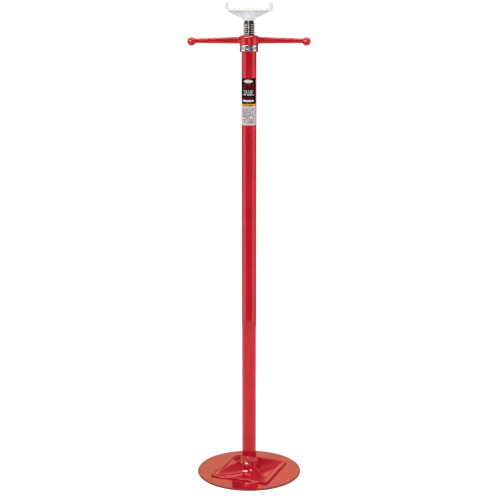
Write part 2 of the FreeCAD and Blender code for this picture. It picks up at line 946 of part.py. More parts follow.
def write_parts():
    """Checks every object and writes each piece's file."""
    doc.recompute()
    for item in doc.Objects:
        if {"Invalid", "Error"} & set(item.State):
            raise RuntimeError(f"{item.Name} ({item.Label}) failed: {item.State}")
    os.makedirs("parts", exist_ok=True)
    for piece in subparts:
        shape = piece.Shape
        if shape.isNull() or not shape.isValid() or not shape.Solids:
            raise RuntimeError(f"{piece.Label} has no valid solid")
        box = shape.BoundBox
        print(
            f"{piece.Label:22s} solids {len(shape.Solids):2d} volume {shape.Volume:11.1f}"
            f"  x {box.XMin:8.2f} {box.XMax:8.2f}  y {box.YMin:8.2f} {box.YMax:8.2f}"
            f"  z {box.ZMin:8.2f} {box.ZMax:8.2f}"
        )
        shape.exportStep(f"parts/{piece.Label}.step")


build()
write_parts()
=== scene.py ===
"""Looks of a tall screw-lifted support stand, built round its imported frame.

The scene is in metres and in the frame's own axes: +Z is up, +X runs along the handle's
arms, and -Y is the front.  Shapes are worked out in millimetres, and scaled where their
meshes are made.  Lamps, camera and material coordinates are in metres.
"""

import math

import bmesh
import bpy
import numpy as np
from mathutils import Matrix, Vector


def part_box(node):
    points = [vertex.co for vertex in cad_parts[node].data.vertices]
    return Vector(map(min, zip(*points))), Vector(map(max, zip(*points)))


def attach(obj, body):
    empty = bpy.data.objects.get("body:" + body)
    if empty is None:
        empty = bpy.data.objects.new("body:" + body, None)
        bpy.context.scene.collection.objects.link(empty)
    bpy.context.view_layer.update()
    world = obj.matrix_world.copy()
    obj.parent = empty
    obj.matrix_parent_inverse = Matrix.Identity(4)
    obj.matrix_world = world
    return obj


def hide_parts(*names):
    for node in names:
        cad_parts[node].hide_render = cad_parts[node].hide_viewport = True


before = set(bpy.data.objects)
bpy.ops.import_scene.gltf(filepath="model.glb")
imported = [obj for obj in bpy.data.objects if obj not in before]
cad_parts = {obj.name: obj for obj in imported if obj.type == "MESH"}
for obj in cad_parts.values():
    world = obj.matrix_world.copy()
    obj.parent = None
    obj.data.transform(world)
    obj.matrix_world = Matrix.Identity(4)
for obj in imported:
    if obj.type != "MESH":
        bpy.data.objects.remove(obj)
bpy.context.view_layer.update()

MM = 0.001
FULL_TURN = 2 * math.pi
QUARTER_TURN = math.pi / 2


# ------------------------ mesh helpers


def span(node):
    """Lowest and highest corner of a CAD node, in millimetres."""
    low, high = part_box(node)
    return np.array(low) / MM, np.array(high) / MM


def made_object(name, shape, material):
    """An object in the scene from (points, faces) in millimetres."""
    points, faces = shape
    mesh = bpy.data.meshes.new(name)
    mesh.from_pydata((np.asarray(points, float) * MM).tolist(), [], [list(f) for f in faces])
    mesh.materials.append(material)
    obj = bpy.data.objects.new(name, mesh)
    bpy.context.scene.collection.objects.link(obj)
    return obj


def piece(name, shape, material, body, stands_for, sharp=32.0):
    """A smooth-shaded object from (points, faces), riding on a body in place of its CAD nodes.

    Edges that turn by more than the sharp angle, in degrees, stay crisp.
    """
    obj = made_object(name, shape, material)
    mesh = obj.data
    work = bmesh.new()
    work.from_mesh(mesh)
    bmesh.ops.remove_doubles(work, verts=work.verts, dist=2e-7)
    bmesh.ops.dissolve_degenerate(work, edges=work.edges, dist=1e-7)
    bmesh.ops.recalc_face_normals(work, faces=work.faces)
    work.to_mesh(mesh)
    work.free()
    mesh.shade_smooth()
    mesh.set_sharp_from_angle(angle=math.radians(sharp))
    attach(obj, body)
    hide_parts(*stands_for)


def rounded(corners, radius, steps=5):
    """A closed outline of (r, z) corners, each rolled to the radius or to what its sides allow."""
    side_share = 0.45
    out = []
    for i, corner in enumerate(corners):
        here = np.array(corner, float)
        before = np.array(corners[i - 1], float) - here
        after = np.array(corners[(i + 1) % len(corners)], float) - here
        cut = min(radius, side_share * np.hypot(*before), side_share * np.hypot(*after))
        start = here + before / np.hypot(*before) * cut
        end = here + after / np.hypot(*after) * cut
        for step in range(steps + 1):
            t = step / steps
            out.append((1 - t) ** 2 * start + 2 * t * (1 - t) * here + t * t * end)
    return out


def wall(rows, closed_rows=False, closed_columns=True):
    """Points and quads of a grid given as an array of rows of points."""
    rows = np.asarray(rows, float)
    height, width = rows.shape[:2]
    index = np.arange(height * width).reshape(height, width)
    faces = []
    for i in range(height if closed_rows else height - 1):
        low, high = index[i], index[(i + 1) % height]
        for j in range(width if closed_columns else width - 1):
            k = (j + 1) % width
            faces.append((low[j], low[k], high[k], high[j]))
    return rows.reshape(-1, 3), faces


def turned(outline, segments=144, closed=True):
    """A shape of revolution about Z.  A closed outline makes a ring, an open one ends on the axis."""
    angles = np.linspace(0, FULL_TURN, segments, endpoint=False)
    rows = [[(r * math.cos(a), r * math.sin(a), z) for a in angles] for r, z in outline]
    return wall(rows, closed_rows=closed)


def ring(radius, level, angles):
    """A row of points round Z, for a radius and a level that may differ from point to point."""
    return np.column_stack([radius * np.cos(angles), radius * np.sin(angles),
                            np.broadcast_to(level, angles.shape)])


def capped(shape, width):
    """The shape with a face on its first row of points and one on its last."""
    points, faces = shape
    return points, faces + [tuple(range(width)), tuple(range(len(points) - width, len(points)))]


def joined(*shapes):
    """Several (points, faces) as one."""
    points, faces, shift = [], [], 0
    for some_points, some_faces in shapes:
        points.extend(np.asarray(some_points, float).tolist())
        faces.extend([tuple(v + shift for v in f) for f in some_faces])
        shift += len(some_points)
    return np.array(points), faces


def smooth_step(low, high, value):
    """Zero up to low, one from high, and an even curve between."""
    t = np.clip((value - low) / (high - low), 0, 1)
    return t * t * (3 - 2 * t)


def smooth_min(a, b, blend):
    """The lesser of two fields, with a fillet of about the blend where they meet."""
    h = np.clip(0.5 + 0.5 * (b - a) / blend, 0, 1)
    return b * (1 - h) + a * h - blend * h * (1 - h)


def smooth_max(a, b, blend):
    """The greater of two fields, with a fillet of about the blend where they meet."""
    return -smooth_min(-a, -b, blend)


def mix(a, b, t):
    """The value a share t of the way from a to b."""
    return a + (b - a) * t


def spun(x, y, turn):
    """A point, or arrays of points, turned about the origin."""
    return x * math.cos(turn) - y * math.sin(turn), x * math.sin(turn) + y * math.cos(turn)


# ------------------------ cast shapes from distance fields


CUBE_CORNERS = [(i, j, k) for i in (0, 1) for j in (0, 1) for k in (0, 1)]
CUBE_EDGES = [
    (a, b) for a in range(8) for b in range(a + 1, 8)
    if sum(p != q for p, q in zip(CUBE_CORNERS[a], CUBE_CORNERS[b])) == 1
]


def net_points(values, low, step):
    """One point for each cell that the surface crosses, and each cell's place in that list."""
    sizes = [n - 1 for n in values.shape]

    def corner(offset):
        i, j, k = offset
        return values[i:i + sizes[0], j:j + sizes[1], k:k + sizes[2]]

    total = np.zeros(sizes + [3])
    count = np.zeros(sizes)
    for a, b in CUBE_EDGES:
        first, second = corner(CUBE_CORNERS[a]), corner(CUBE_CORNERS[b])
        crossed = (first < 0) != (second < 0)
        share = np.where(crossed, first / np.where(crossed, first - second, 1.0), 0.0)
        start = np.array(CUBE_CORNERS[a], float)
        along = np.array(CUBE_CORNERS[b], float) - start
        total += crossed[..., None] * (start + share[..., None] * along)
        count += crossed
    used = count > 0
    cells = -np.ones(sizes, int)
    cells[used] = np.arange(used.sum())
    points = np.argwhere(used) + total[used] / count[used][:, None]
    return points * step + np.array(low), cells


def net_faces(values, cells):
    """A quad round each grid edge that the surface crosses."""
    faces = []
    for axis in range(3):
        inside = np.moveaxis(values, axis, 0) < 0
        p = np.moveaxis(cells, axis, 0)
        for i, j, k in np.argwhere(inside[:-1] != inside[1:]):
            if 0 < j < p.shape[1] and 0 < k < p.shape[2]:
                faces.append((p[i, j - 1, k - 1], p[i, j, k - 1], p[i, j, k], p[i, j - 1, k]))
    return faces


def settled(points, field, probe=0.05, rounds=3, flattest=0.05):
    """Points moved along the field's slope until they lie on its zero surface."""
    for _ in range(rounds):
        x, y, z = points.T
        here = field(x, y, z)
        slope = np.stack([
            field(x + probe, y, z) - here,
            field(x, y + probe, z) - here,
            field(x, y, z + probe) - here,
        ], axis=1) / probe
        steep = np.maximum((slope ** 2).sum(axis=1), flattest)
        points = points - slope * (here / steep)[:, None]
    return points


def cast(field, low, high, step):
    """Points and quads of the zero surface of a distance field, found on a grid of that step."""
    lines = [np.arange(a - 2 * step, b + 3 * step, step) for a, b in zip(low, high)]
    values = field(*np.meshgrid(*lines, indexing="ij"))
    points, cells = net_points(values, [line[0] for line in lines], step)
    return settled(points, field), net_faces(values, cells)


def box_field(x, y, z, low, high, radius):
    """Distance to a box with rolled edges."""
    centre = [(a + b) / 2 for a, b in zip(low, high)]
    half = [(b - a) / 2 - radius for a, b in zip(low, high)]
    q = [np.abs(v - c) - h for v, c, h in zip((x, y, z), centre, half)]
    outside = np.sqrt(sum(np.maximum(v, 0) ** 2 for v in q))
    return outside + np.minimum(np.maximum(np.maximum(q[0], q[1]), q[2]), 0) - radius


def drum_field(across, along, radius, low, high, edge):
    """Distance to a cylinder: across is the distance from its axis, along the place on it."""
    q = [across - radius + edge, np.abs(along - (low + high) / 2) - (high - low) / 2 + edge]
    outside = np.hypot(np.maximum(q[0], 0), np.maximum(q[1], 0))
    return outside + np.minimum(np.maximum(q[0], q[1]), 0) - edge


# ------------------------ material helpers


def new_tree(name):
    """A new material and its node tree, with the Principled shader only."""
    material = bpy.data.materials.new(name)
    material.use_nodes = True
    return material, material.node_tree, material.node_tree.nodes["Principled BSDF"]


def put(tree, kind, inputs=None, **settings):
    """A node with its settings made and its inputs set or linked."""
    made = tree.nodes.new(kind)
    for key, value in settings.items():
        setattr(made, key, value)
    for key, value in (inputs or {}).items():
        if isinstance(value, bpy.types.NodeSocket):
            tree.links.new(value, made.inputs[key])
        else:
            made.inputs[key].default_value = value
    return made


def place(tree, stretch=(1, 1, 1)):
    """Object coordinates, which are the frame's own metres, stretched."""
    source = put(tree, "ShaderNodeTexCoord").outputs["Object"]
    mapping = put(tree, "ShaderNodeMapping", {"Vector": source, "Scale": stretch})
    return mapping.outputs["Vector"]


def noise(tree, scale, detail=3.0, roughness=0.5, stretch=(1, 1, 1)):
    """Soft noise with that many spots to a metre."""
    inputs = {"Vector": place(tree, stretch), "Scale": scale, "Detail": detail,
              "Roughness": roughness}
    return put(tree, "ShaderNodeTexNoise", inputs).outputs["Fac"]


def calc(tree, operation, *values):
    """A Math node on numbers or sockets."""
    return put(tree, "ShaderNodeMath", dict(enumerate(values)), operation=operation).outputs[0]


def product(tree, *values):
    """The values multiplied together."""
    total = values[0]
    for value in values[1:]:
        total = calc(tree, "MULTIPLY", total, value)
    return total


def ranged(tree, value, low, high, to_low=0.0, to_high=1.0):
    """The value mapped from one range to another, held at its ends."""
    inputs = {"Value": value, "From Min": low, "From Max": high,
              "To Min": to_low, "To Max": to_high}
    return put(tree, "ShaderNodeMapRange", inputs).outputs["Result"]


def blend(tree, factor, first, second):
    """Mix of two colours, by number because the node has three pairs of sockets of one name."""
    made = put(tree, "ShaderNodeMix", data_type="RGBA")
    for socket, value in ((0, factor), (6, first), (7, second)):
        if isinstance(value, bpy.types.NodeSocket):
            tree.links.new(value, made.inputs[socket])
        else:
            made.inputs[socket].default_value = value
    return made.outputs[2]


def within(tree, value, low, high):
    """One where the value is between two numbers."""
    return calc(tree, "COMPARE", value, (low + high) / 2, (high - low) / 2)


def bump(tree, height, depth, under=None):
    """Normal of a surface with that relief, depth in millimetres."""
    inputs = {"Height": height, "Strength": 1.0, "Distance": depth * MM}
    if under is not None:
        inputs["Normal"] = under
    return put(tree, "ShaderNodeBump", inputs).outputs["Normal"]


def edges(tree):
    """One on outer edges and zero on flats and in corners."""
    point = put(tree, "ShaderNodeNewGeometry").outputs["Pointiness"]
    return ranged(tree, point, 0.57, 0.64)


def axes(tree):
    """X, Y and Z on the stand, in metres."""
    parts = put(tree, "ShaderNodeSeparateXYZ", {"Vector": place(tree)})
    return [parts.outputs[axis] for axis in "XYZ"]


def axle_distance(tree):
    """Metres from the stand's vertical axis."""
    across, depth, _ = axes(tree)
    return calc(tree, "SQRT", calc(tree, "ADD", calc(tree, "POWER", across, 2.0),
                                   calc(tree, "POWER", depth, 2.0)))


def rgb(red, green, blue):
    """A linear colour with full alpha."""
    return (red, green, blue, 1.0)


def grey_of(value):
    """A neutral colour."""
    return rgb(value, value, value)


# ------------------------ materials


def enamel(name, colour, shade, peel, cast_grain=0.0, gloss=0.03, index=1.62,
           tint=(1.0, 0.6, 0.42), painted_shade_radius=None):
    """Sprayed gloss enamel: orange peel, faint mottle, dust nibs and worn paint on edges.

    Peel and cast grain are reliefs in millimetres.  Outside the given radius, in metres, the
    plate's rim is painted darker as painted shade where it meets the floor, and is rougher.
    """
    material, tree, shader = new_tree(name)
    mottle = ranged(tree, noise(tree, 14.0, detail=4.0), 0.35, 0.65)
    body = blend(tree, mottle, shade, colour)
    nibs = ranged(tree, noise(tree, 900.0, detail=2.0, roughness=0.6), 0.70, 0.78)
    speckled = blend(tree, product(tree, nibs, 0.35), body, shade)
    scuffed = product(tree, edges(tree), ranged(tree, noise(tree, 120.0), 0.50, 0.62))
    worn = rgb(*(0.55 * channel for channel in shade[:3]))
    coloured = blend(tree, product(tree, scuffed, 0.45), speckled, worn)
    rough = ranged(tree, noise(tree, 60.0, detail=5.0), 0.3, 0.7, gloss, gloss + 0.012)
    rough = calc(tree, "ADD", rough, product(tree, scuffed, 0.2))
    # Painted shade: beyond the given radius the plate's rim turns dark red, like a shadow at the
    # floor.
    if painted_shade_radius:
        fade = 0.0004
        painted_edge_shade = ranged(tree, axle_distance(tree), painted_shade_radius - fade, painted_shade_radius)
        coloured = blend(tree, product(tree, painted_edge_shade, 0.9), coloured, rgb(0.12, 0.002, 0.007))
        rough = calc(tree, "ADD", rough, product(tree, painted_edge_shade, 0.4))
    tree.links.new(coloured, shader.inputs["Base Color"])
    tree.links.new(rough, shader.inputs["Roughness"])
    skin = bump(tree, noise(tree, 260.0, detail=2.0, roughness=0.4), peel)
    if cast_grain:
        skin = bump(tree, noise(tree, 700.0, detail=4.0, roughness=0.6), cast_grain, skin)
    tree.links.new(skin, shader.inputs["Normal"])
    shader.inputs["IOR"].default_value = index
    shader.inputs["Specular Tint"].default_value = rgb(*tint)
    return material


def turned_steel(name, light, dark, rough_low, rough_high):
    """Bare turned steel: fine tool rings, stains and brighter edges."""
    material, tree, shader = new_tree(name)
    rings_per_metre = 2600.0
    line = product(tree, calc(tree, "ADD", axle_distance(tree), axes(tree)[2]), rings_per_metre)
    rings = put(tree, "ShaderNodeTexNoise", {"W": line, "Scale": 1.0, "Detail": 3.0},
                noise_dimensions="1D").outputs["Fac"]
    stain = ranged(tree, noise(tree, 90.0, detail=5.0), 0.35, 0.7)
    tone = blend(tree, stain, light, dark)
    tone = blend(tree, product(tree, edges(tree), 0.6), tone, rgb(0.80, 0.80, 0.79))
    tree.links.new(tone, shader.inputs["Base Color"])
    tree.links.new(ranged(tree, rings, 0.3, 0.7, rough_low, rough_high),
                   shader.inputs["Roughness"])
    tree.links.new(bump(tree, rings, 0.01), shader.inputs["Normal"])
    shader.inputs["Metallic"].default_value = 1.0
    return material


def screw_steel():
    """Rolled screw: oiled dark flanks, crests rubbed bright and a freshly milled keyway.

    The crests are darkened on the far left and dimmed on the far right as painted shade.  The
    keyway's walls are painted near black as shade, and a pale strip on the left of its floor is a
    painted highlight on a smoother track with cutter marks.
    """
    material, tree, shader = new_tree("screw_steel_finish")
    across, depth, along = axes(tree)
    # Painted shade: the crests fade to dark on the far left and dim on the far right.
    painted_light_share = product(tree, ranged(tree, across, -0.0134, -0.0114, 0.0, 1.0),
                   ranged(tree, across, 0.0080, 0.0092, 1.0, 0.35))
    crest = product(tree, ranged(tree, axle_distance(tree), 0.0152, 0.0158), painted_light_share)
    patches = ranged(tree, noise(tree, 220.0, detail=5.0), 0.35, 0.65)
    oiled = blend(tree, patches, rgb(0.012, 0.010, 0.008), rgb(0.035, 0.030, 0.025))
    rubbed = blend(tree, patches, rgb(0.42, 0.40, 0.36), rgb(0.66, 0.63, 0.59))
    rolled = blend(tree, crest, oiled, rubbed)
    # Painted shade: the keyway's walls and the crests beside them are near black.
    keyway_painted_shade = product(tree, within(tree, across, -0.0041, 0.0041),
                    within(tree, depth, -0.0152, -0.0105))
    # Painted highlight: a pale strip on the left of the keyway's floor, also smoother and
    # cutter-marked.
    track = product(tree, within(tree, across, -0.0024, -0.0001),
                    within(tree, depth, -0.0122, -0.0105))
    coloured = blend(tree, keyway_painted_shade, rolled, rgb(0.03, 0.028, 0.025))
    coloured = blend(tree, track, coloured, rgb(0.16, 0.16, 0.155))
    tree.links.new(coloured, shader.inputs["Base Color"])
    lines = noise(tree, 1500.0, stretch=(1, 1, 0.15))
    rough = calc(tree, "SUBTRACT", ranged(tree, lines, 0.3, 0.7, 0.24, 0.42),
                 product(tree, track, 0.16))
    tree.links.new(rough, shader.inputs["Roughness"])
    cutter_marks = product(tree, calc(tree, "SINE", product(tree, along, 5200.0)), track)
    milled = bump(tree, cutter_marks, 0.004)
    tree.links.new(bump(tree, lines, 0.03, milled), shader.inputs["Normal"])
    shader.inputs["Metallic"].default_value = 1.0
    return material


def label_place(tree, node):
    """Millimetres round the post from its front, and down from the label's top edge."""
    x, y, z = axes(tree)
    angle = calc(tree, "ARCTAN2", x, product(tree, y, -1.0))
    label_radius = -float(span("front_label")[0][1])
    down = calc(tree, "SUBTRACT", float(span(node)[1][2]), calc(tree, "DIVIDE", z, MM))
    return product(tree, angle, label_radius), down


def words(tree, across, row, pitch, gap=0.46):
    """Breaks along a printed line, so that it reads as a row of plain blocks."""
    where = put(tree, "ShaderNodeCombineXYZ",
                {"X": calc(tree, "DIVIDE", across, pitch), "Y": row})
    grain = put(tree, "ShaderNodeTexNoise", {"Vector": where.outputs[0], "Scale": 1.0,
                "Detail": 1.0}, noise_dimensions="2D").outputs["Fac"]
    return calc(tree, "GREATER_THAN", grain, gap)


def print_bars(tree, ground, across, down, bars):
    """Ground colour with bars printed on it, each (top, bottom, left, right, word pitch, ink).

    Places are in millimetres, and a word pitch of zero makes a solid bar.
    """
    row_spread = 7.3
    colour = ground
    for number, (top, bottom, left, right, pitch, ink) in enumerate(bars):
        mask = product(tree, within(tree, down, top, bottom), within(tree, across, left, right))
        if pitch:
            mask = product(tree, mask, words(tree, across, row_spread * number, pitch))
        colour = blend(tree, mask, colour, ink)
    return colour


def finish_vinyl(tree, shader, colour):
    """Printed vinyl: a satin film with a little stipple and scuffing."""
    tree.links.new(colour, shader.inputs["Base Color"])
    tree.links.new(ranged(tree, noise(tree, 300.0, detail=4.0), 0.3, 0.7, 0.34, 0.46),
                   shader.inputs["Roughness"])
    tree.links.new(bump(tree, noise(tree, 500.0, detail=2.0), 0.02), shader.inputs["Normal"])
    shader.inputs["Specular IOR Level"].default_value = 0.012


def badge(tree, across, down, middle, half):
    """One inside an oval on a label, from its middle and half sizes in millimetres."""
    squares = []
    for value, centre, size in zip((across, down), middle, half):
        offset = calc(tree, "DIVIDE", calc(tree, "SUBTRACT", value, centre), size)
        squares.append(calc(tree, "POWER", offset, 2.0))
    return calc(tree, "LESS_THAN", calc(tree, "ADD", *squares), 1.0)


def black_label():
    """Black vinyl with a plain oval and plain white, red, grey and blue blocks."""
    material, tree, shader = new_tree("black_label_print")
    across, down = label_place(tree, "front_label")
    white, red = rgb(0.74, 0.74, 0.75), rgb(0.24, 0.012, 0.022)
    grey, blue = rgb(0.42, 0.42, 0.46), rgb(0.10, 0.17, 0.30)
    black = blend(tree, noise(tree, 40.0), rgb(0.001, 0.001, 0.0015), rgb(0.003, 0.003, 0.003))
    oval = badge(tree, across, down, middle=(-2.4, 8.4), half=(13.5, 4.8))
    ground = blend(tree, oval, black, grey_of(0.70))
    bars = [
        (6.4, 8.0, -11.0, 6.0, 2.2, grey),
        (9.4, 10.6, -9.0, 4.0, 1.6, grey),
        (15.4, 21.8, -21.5, 15.5, 3.4, red),
        (23.4, 29.8, -21.0, 15.0, 3.1, red),
        (33.5, 37.2, -19.5, 12.5, 2.8, grey),
        (38.8, 43.0, -16.0, 10.0, 2.4, grey),
        (44.4, 48.4, -21.0, 14.5, 3.0, white),
        (52.0, 54.4, -13.0, 8.5, 1.5, red),
        (56.0, 59.4, -17.0, 10.5, 1.9, red),
        (61.4, 66.2, -21.0, 15.0, 0.0, white),
        (68.2, 70.8, -11.0, 6.0, 1.6, blue),
    ]
    finish_vinyl(tree, shader, print_bars(tree, ground, across, down, bars))
    return material


def grey_label():
    """White vinyl with an orange band above rows of fine grey bars."""
    material, tree, shader = new_tree("grey_label_print")
    across, down = label_place(tree, "data_label")
    paper = blend(tree, noise(tree, 60.0), rgb(0.58, 0.53, 0.56), rgb(0.72, 0.67, 0.70))
    ink, orange, brown = rgb(0.10, 0.11, 0.12), rgb(0.72, 0.35, 0.06), rgb(0.28, 0.12, 0.02)
    row_pitch, row_spread, inked_share = 4.4, 5.7, 0.55
    rows_down = calc(tree, "DIVIDE", down, row_pitch)
    in_row = calc(tree, "LESS_THAN", calc(tree, "FRACT", rows_down), inked_share)
    row = product(tree, calc(tree, "FLOOR", rows_down), row_spread)
    text = product(tree, in_row, words(tree, across, row, 3.8, gap=0.44))
    block = product(tree, within(tree, down, 11.0, 57.0), within(tree, across, -22.0, 17.5))
    printed = blend(tree, product(tree, text, block), paper, ink)
    bars = [
        (-1.0, 7.6, -40.0, 40.0, 0.0, orange),
        (2.4, 6.0, -17.0, 11.0, 2.6, brown),
    ]
    finish_vinyl(tree, shader, print_bars(tree, printed, across, down, bars))
    return material


# ------------------------ foot


def base_plate(paint):
    """Round plate with a rolled upper edge and a small chamfer below."""
    high = span("base_plate")[1]
    inset, chamfer, roll, roll_steps, ground = 0.02, 0.5, 1.2, 6, 0.0
    radius, top = high[0] - inset, high[2]
    outline = [(0.0, ground), (radius - chamfer, ground), (radius, ground + chamfer)]
    for step in range(roll_steps + 1):
        turn = QUARTER_TURN * step / roll_steps
        outline.append((radius - roll + roll * math.cos(turn), top - roll + roll * math.sin(turn)))
    outline += [(radius * share, top) for share in (0.97, 0.8, 0.5, 0.2, 0.0)]
    piece("foot_plate", turned(outline, 240, closed=False), paint, "post",
          ["base_plate"])


# The pressed sheet, and then its ridges: each pair is near the post and far from it.
PRESSING = {
    "half_side": 90.0, "corner": 6.0, "turn": math.radians(-20.6), "bore": 21.02,
    "edge_roll": 2.4, "rim": 5.6, "rim_width": 16.0, "rim_blend": 2.2, "panel": 3.0,
    "ridge": (24.0, 114.0), "ridge_base": (27.0, 16.0), "ridge_hollow": (1.9, 1.3),
    "crest_round": 2.0, "ridge_blend": 1.8, "boss_blend": 2.5,
}
# Distance from the post's axis and height above the plate.
CREST_PROFILE = [(24.0, 37.5), (48.0, 28.5), (67.0, 24.0), (98.0, 14.0), (114.0, 7.0), (124.0, 3.0)]
BOSS_PROFILE = [
    (0.0, 47.0), (23.6, 47.0), (24.5, 45.2), (25.0, 40.0), (25.6, 34.6), (26.2, 32.4),
    (28.9, 28.3), (29.3, 26.5), (29.7, 20.0), (30.3, 11.0), (30.8, 8.8), (33.4, 4.9),
    (36.5, 3.0), (400.0, 3.0),
]


def boss_height(rho):
    """Height of the round boss and neck, with its corners softened."""
    r, h = zip(*BOSS_PROFILE)
    shifts = (-0.5, -0.25, 0.0, 0.25, 0.5)
    return sum(np.interp(rho + s, r, h) for s in shifts) / len(shifts)


def pressing_height(u, v):
    """Height of the pressed sheet above the plate, in the pressing's own axes."""
    p = PRESSING
    flat = p["half_side"] - p["corner"]
    qu, qv = np.abs(u) - flat, np.abs(v) - flat
    signed = np.hypot(np.maximum(qu, 0), np.maximum(qv, 0)) + np.minimum(np.maximum(qu, qv), 0)
    inset = np.maximum(p["corner"] - signed, 0.0)
    rim_end, rim_blend = p["rim_width"], p["rim_blend"]
    rim = mix(p["rim"], p["panel"], smooth_step(rim_end - rim_blend, rim_end + rim_blend, inset))
    along = (np.abs(u) + np.abs(v)) / math.sqrt(2)
    aside = np.abs(np.abs(u) - np.abs(v)) / math.sqrt(2)
    near, far = p["ridge"]
    share = (along - near) / (far - near)
    crest, crest_round = np.interp(along, *zip(*CREST_PROFILE)), p["crest_round"]
    spread = (np.hypot(aside, crest_round) - crest_round) / (
        mix(*p["ridge_base"], share) - crest_round)
    ridge = crest * (1 - np.clip(spread, 0, 1)) ** mix(*p["ridge_hollow"], np.clip(share, 0, 1))
    height = smooth_max(rim, ridge, p["ridge_blend"])
    height = smooth_max(height, boss_height(np.hypot(u, v)), p["boss_blend"])
    roll = p["edge_roll"]
    drop = roll - np.sqrt(np.maximum(roll ** 2 - np.maximum(roll - inset, 0) ** 2, 0))
    return height - drop


def square_outline(side_steps=56, corner_steps=16):
    """Points round the pressing's rounded square, denser at its corners."""
    half, radius = PRESSING["half_side"], PRESSING["corner"]
    flat = half - radius
    points = []
    for quarter in range(4):
        turn = quarter * QUARTER_TURN
        x, y = spun(flat, flat, turn)
        for step in range(corner_steps):
            a = turn + QUARTER_TURN * step / corner_steps
            points.append((x + radius * math.cos(a), y + radius * math.sin(a)))
        for step in range(side_steps):
            points.append(spun(mix(flat, -flat, step / side_steps), half, turn))
    return np.array(points)


def base_pedestal(paint):
    """Square pressing: rolled rim, four panels, four ridges and the boss that holds the post.

    Its rows of points are round from the bore to the knee, and then open out into the square.
    """
    level = float(span("base_pedestal")[0][2])
    outline = square_outline()
    unit = outline / np.hypot(*outline.T)[:, None]
    knee, knee_to_rim = 36.0, 52.0
    radii = np.concatenate([np.linspace(PRESSING["bore"], 24.0, 4), np.linspace(24.4, 33.0, 34),
                            np.linspace(33.5, knee, 5)])
    roll_share = PRESSING["edge_roll"] / knee_to_rim
    shares = np.concatenate([np.linspace(0.02, 0.62, 34), np.linspace(0.63, 0.94, 30),
                             1 - (1 - np.cos(np.linspace(QUARTER_TURN, 0, 8))) * roll_share])
    plan = [unit * radius for radius in radii]
    plan += [mix(unit * knee, outline, share) for share in shares]
    rows = []
    for row in plan:
        u, v = row.T
        x, y = spun(u, v, PRESSING["turn"])
        rows.append(np.column_stack([x, y, level + pressing_height(u, v)]))
    # The skirt goes straight down from the rim, and the underside is flat from there to the bore.
    for row, share in ((rows[-1], 0.5), (rows[-1], 0.0), (rows[0], 0.0)):
        lowered = row.copy()
        lowered[:, 2] = mix(level, row[:, 2], share)
        rows.append(lowered)
    piece("foot_pressing", wall(rows, closed_rows=True), paint, "post",
          ["base_pedestal"], sharp=50.0)


def bead(path, outward, size, ripples, closed):
    """A weld bead along a level path: a convex fillet whose ripples follow one another.

    It is sunk a little into what it joins, and one that isn't closed tapers at its ends.
    """
    count, arc_steps, sunk, back_share, taper = len(path), 7, 0.6, 0.6, 5.0
    up = np.array([0.0, 0.0, 1.0])
    rows = []
    for i, point in enumerate(path):
        wave = 0.95 + 0.10 * abs(math.sin(math.pi * ripples * i / count))
        wave += 0.05 * math.sin(5.1 * i / count * FULL_TURN + 1.0)
        if not closed:
            inward = min(min(i, count - 1 - i) / taper, 1.0)
            wave *= 0.25 + 0.75 * math.sin(inward * QUARTER_TURN)
        back = point - outward[i] * sunk
        row = [back]
        for step in range(arc_steps + 1):
            a = QUARTER_TURN * step / arc_steps
            swell = size * wave * (0.80 + 0.20 * math.sin(2 * a))
            row.append(point + outward[i] * math.cos(a) * swell + up * math.sin(a) * swell)
        row.append(back + up * size * back_share * wave)
        rows.append(row)
    shape = wall(rows, closed_rows=closed)
    return shape if closed else capped(shape, len(rows[0]))


def foot_weld(paint):
    """Rippled seam where the post enters the boss."""
    low, high = span("post_foot_weld")
    overlap, trim = 0.2, 0.3
    seat = PRESSING["bore"] + overlap
    angles = np.linspace(0, FULL_TURN, 300, endpoint=False)
    outward = ring(1.0, 0.0, angles)
    path = ring(seat, low[2] - overlap, angles)
    shape = bead(path, outward, size=high[0] - seat - trim, ripples=62, closed=True)
    piece("foot_weld_seam", shape, paint, "post", ["post_foot_weld"], sharp=60.0)


def stitch_welds(paint):
    """Two short rippled welds along each side of the pressing."""
    bottom = span("pedestal_welds")[0][2]
    length, offset, steps = 30.0, 50.0, 60
    shapes = []
    for quarter in range(4):
        turn = PRESSING["turn"] + quarter * QUARTER_TURN
        out, along = (np.array([*spun(*way, turn), 0.0]) for way in ((1.0, 0.0), (0.0, 1.0)))
        for middle in (-offset, offset):
            runs = np.linspace(middle - length / 2, middle + length / 2, steps)
            path = out * PRESSING["half_side"] + along * runs[:, None] + np.array([0, 0, bottom])
            shapes.append(bead(path, [out] * steps, size=3.3, ripples=11, closed=False))
    piece("stitch_weld_beads", joined(*shapes), paint, "post",
          ["pedestal_welds"], sharp=60.0)


# ------------------------ post


POST_RADIUS = 21.0
# Start and sweep of each label round the post, in degrees.
LABEL_ARCS = {"front_label": (197.0, 132.0), "data_label": (195.0, 137.0)}


def post(paint):
    """Drawn tube with softened ends, and the flanged guide in its mouth."""
    low, high = span("post_tube")
    bore = 18.5
    outline = rounded([(bore, low[2]), (POST_RADIUS, low[2]), (POST_RADIUS, high[2]),
                       (bore, high[2])], 0.5)
    piece("post_barrel", turned(outline, 160), paint, "post", ["post_tube"])
    low, high = span("post_top_collar")
    bore, sleeve, flange = 16.3, 18.4, 3.0
    seat = high[2] - flange
    outline = rounded([(bore, low[2]), (sleeve, low[2]), (sleeve, seat), (high[0], seat),
                       (high[0], high[2]), (bore, high[2])], 0.6)
    piece("post_mouth_collar", turned(outline, 160), paint, "post",
          ["post_top_collar"])


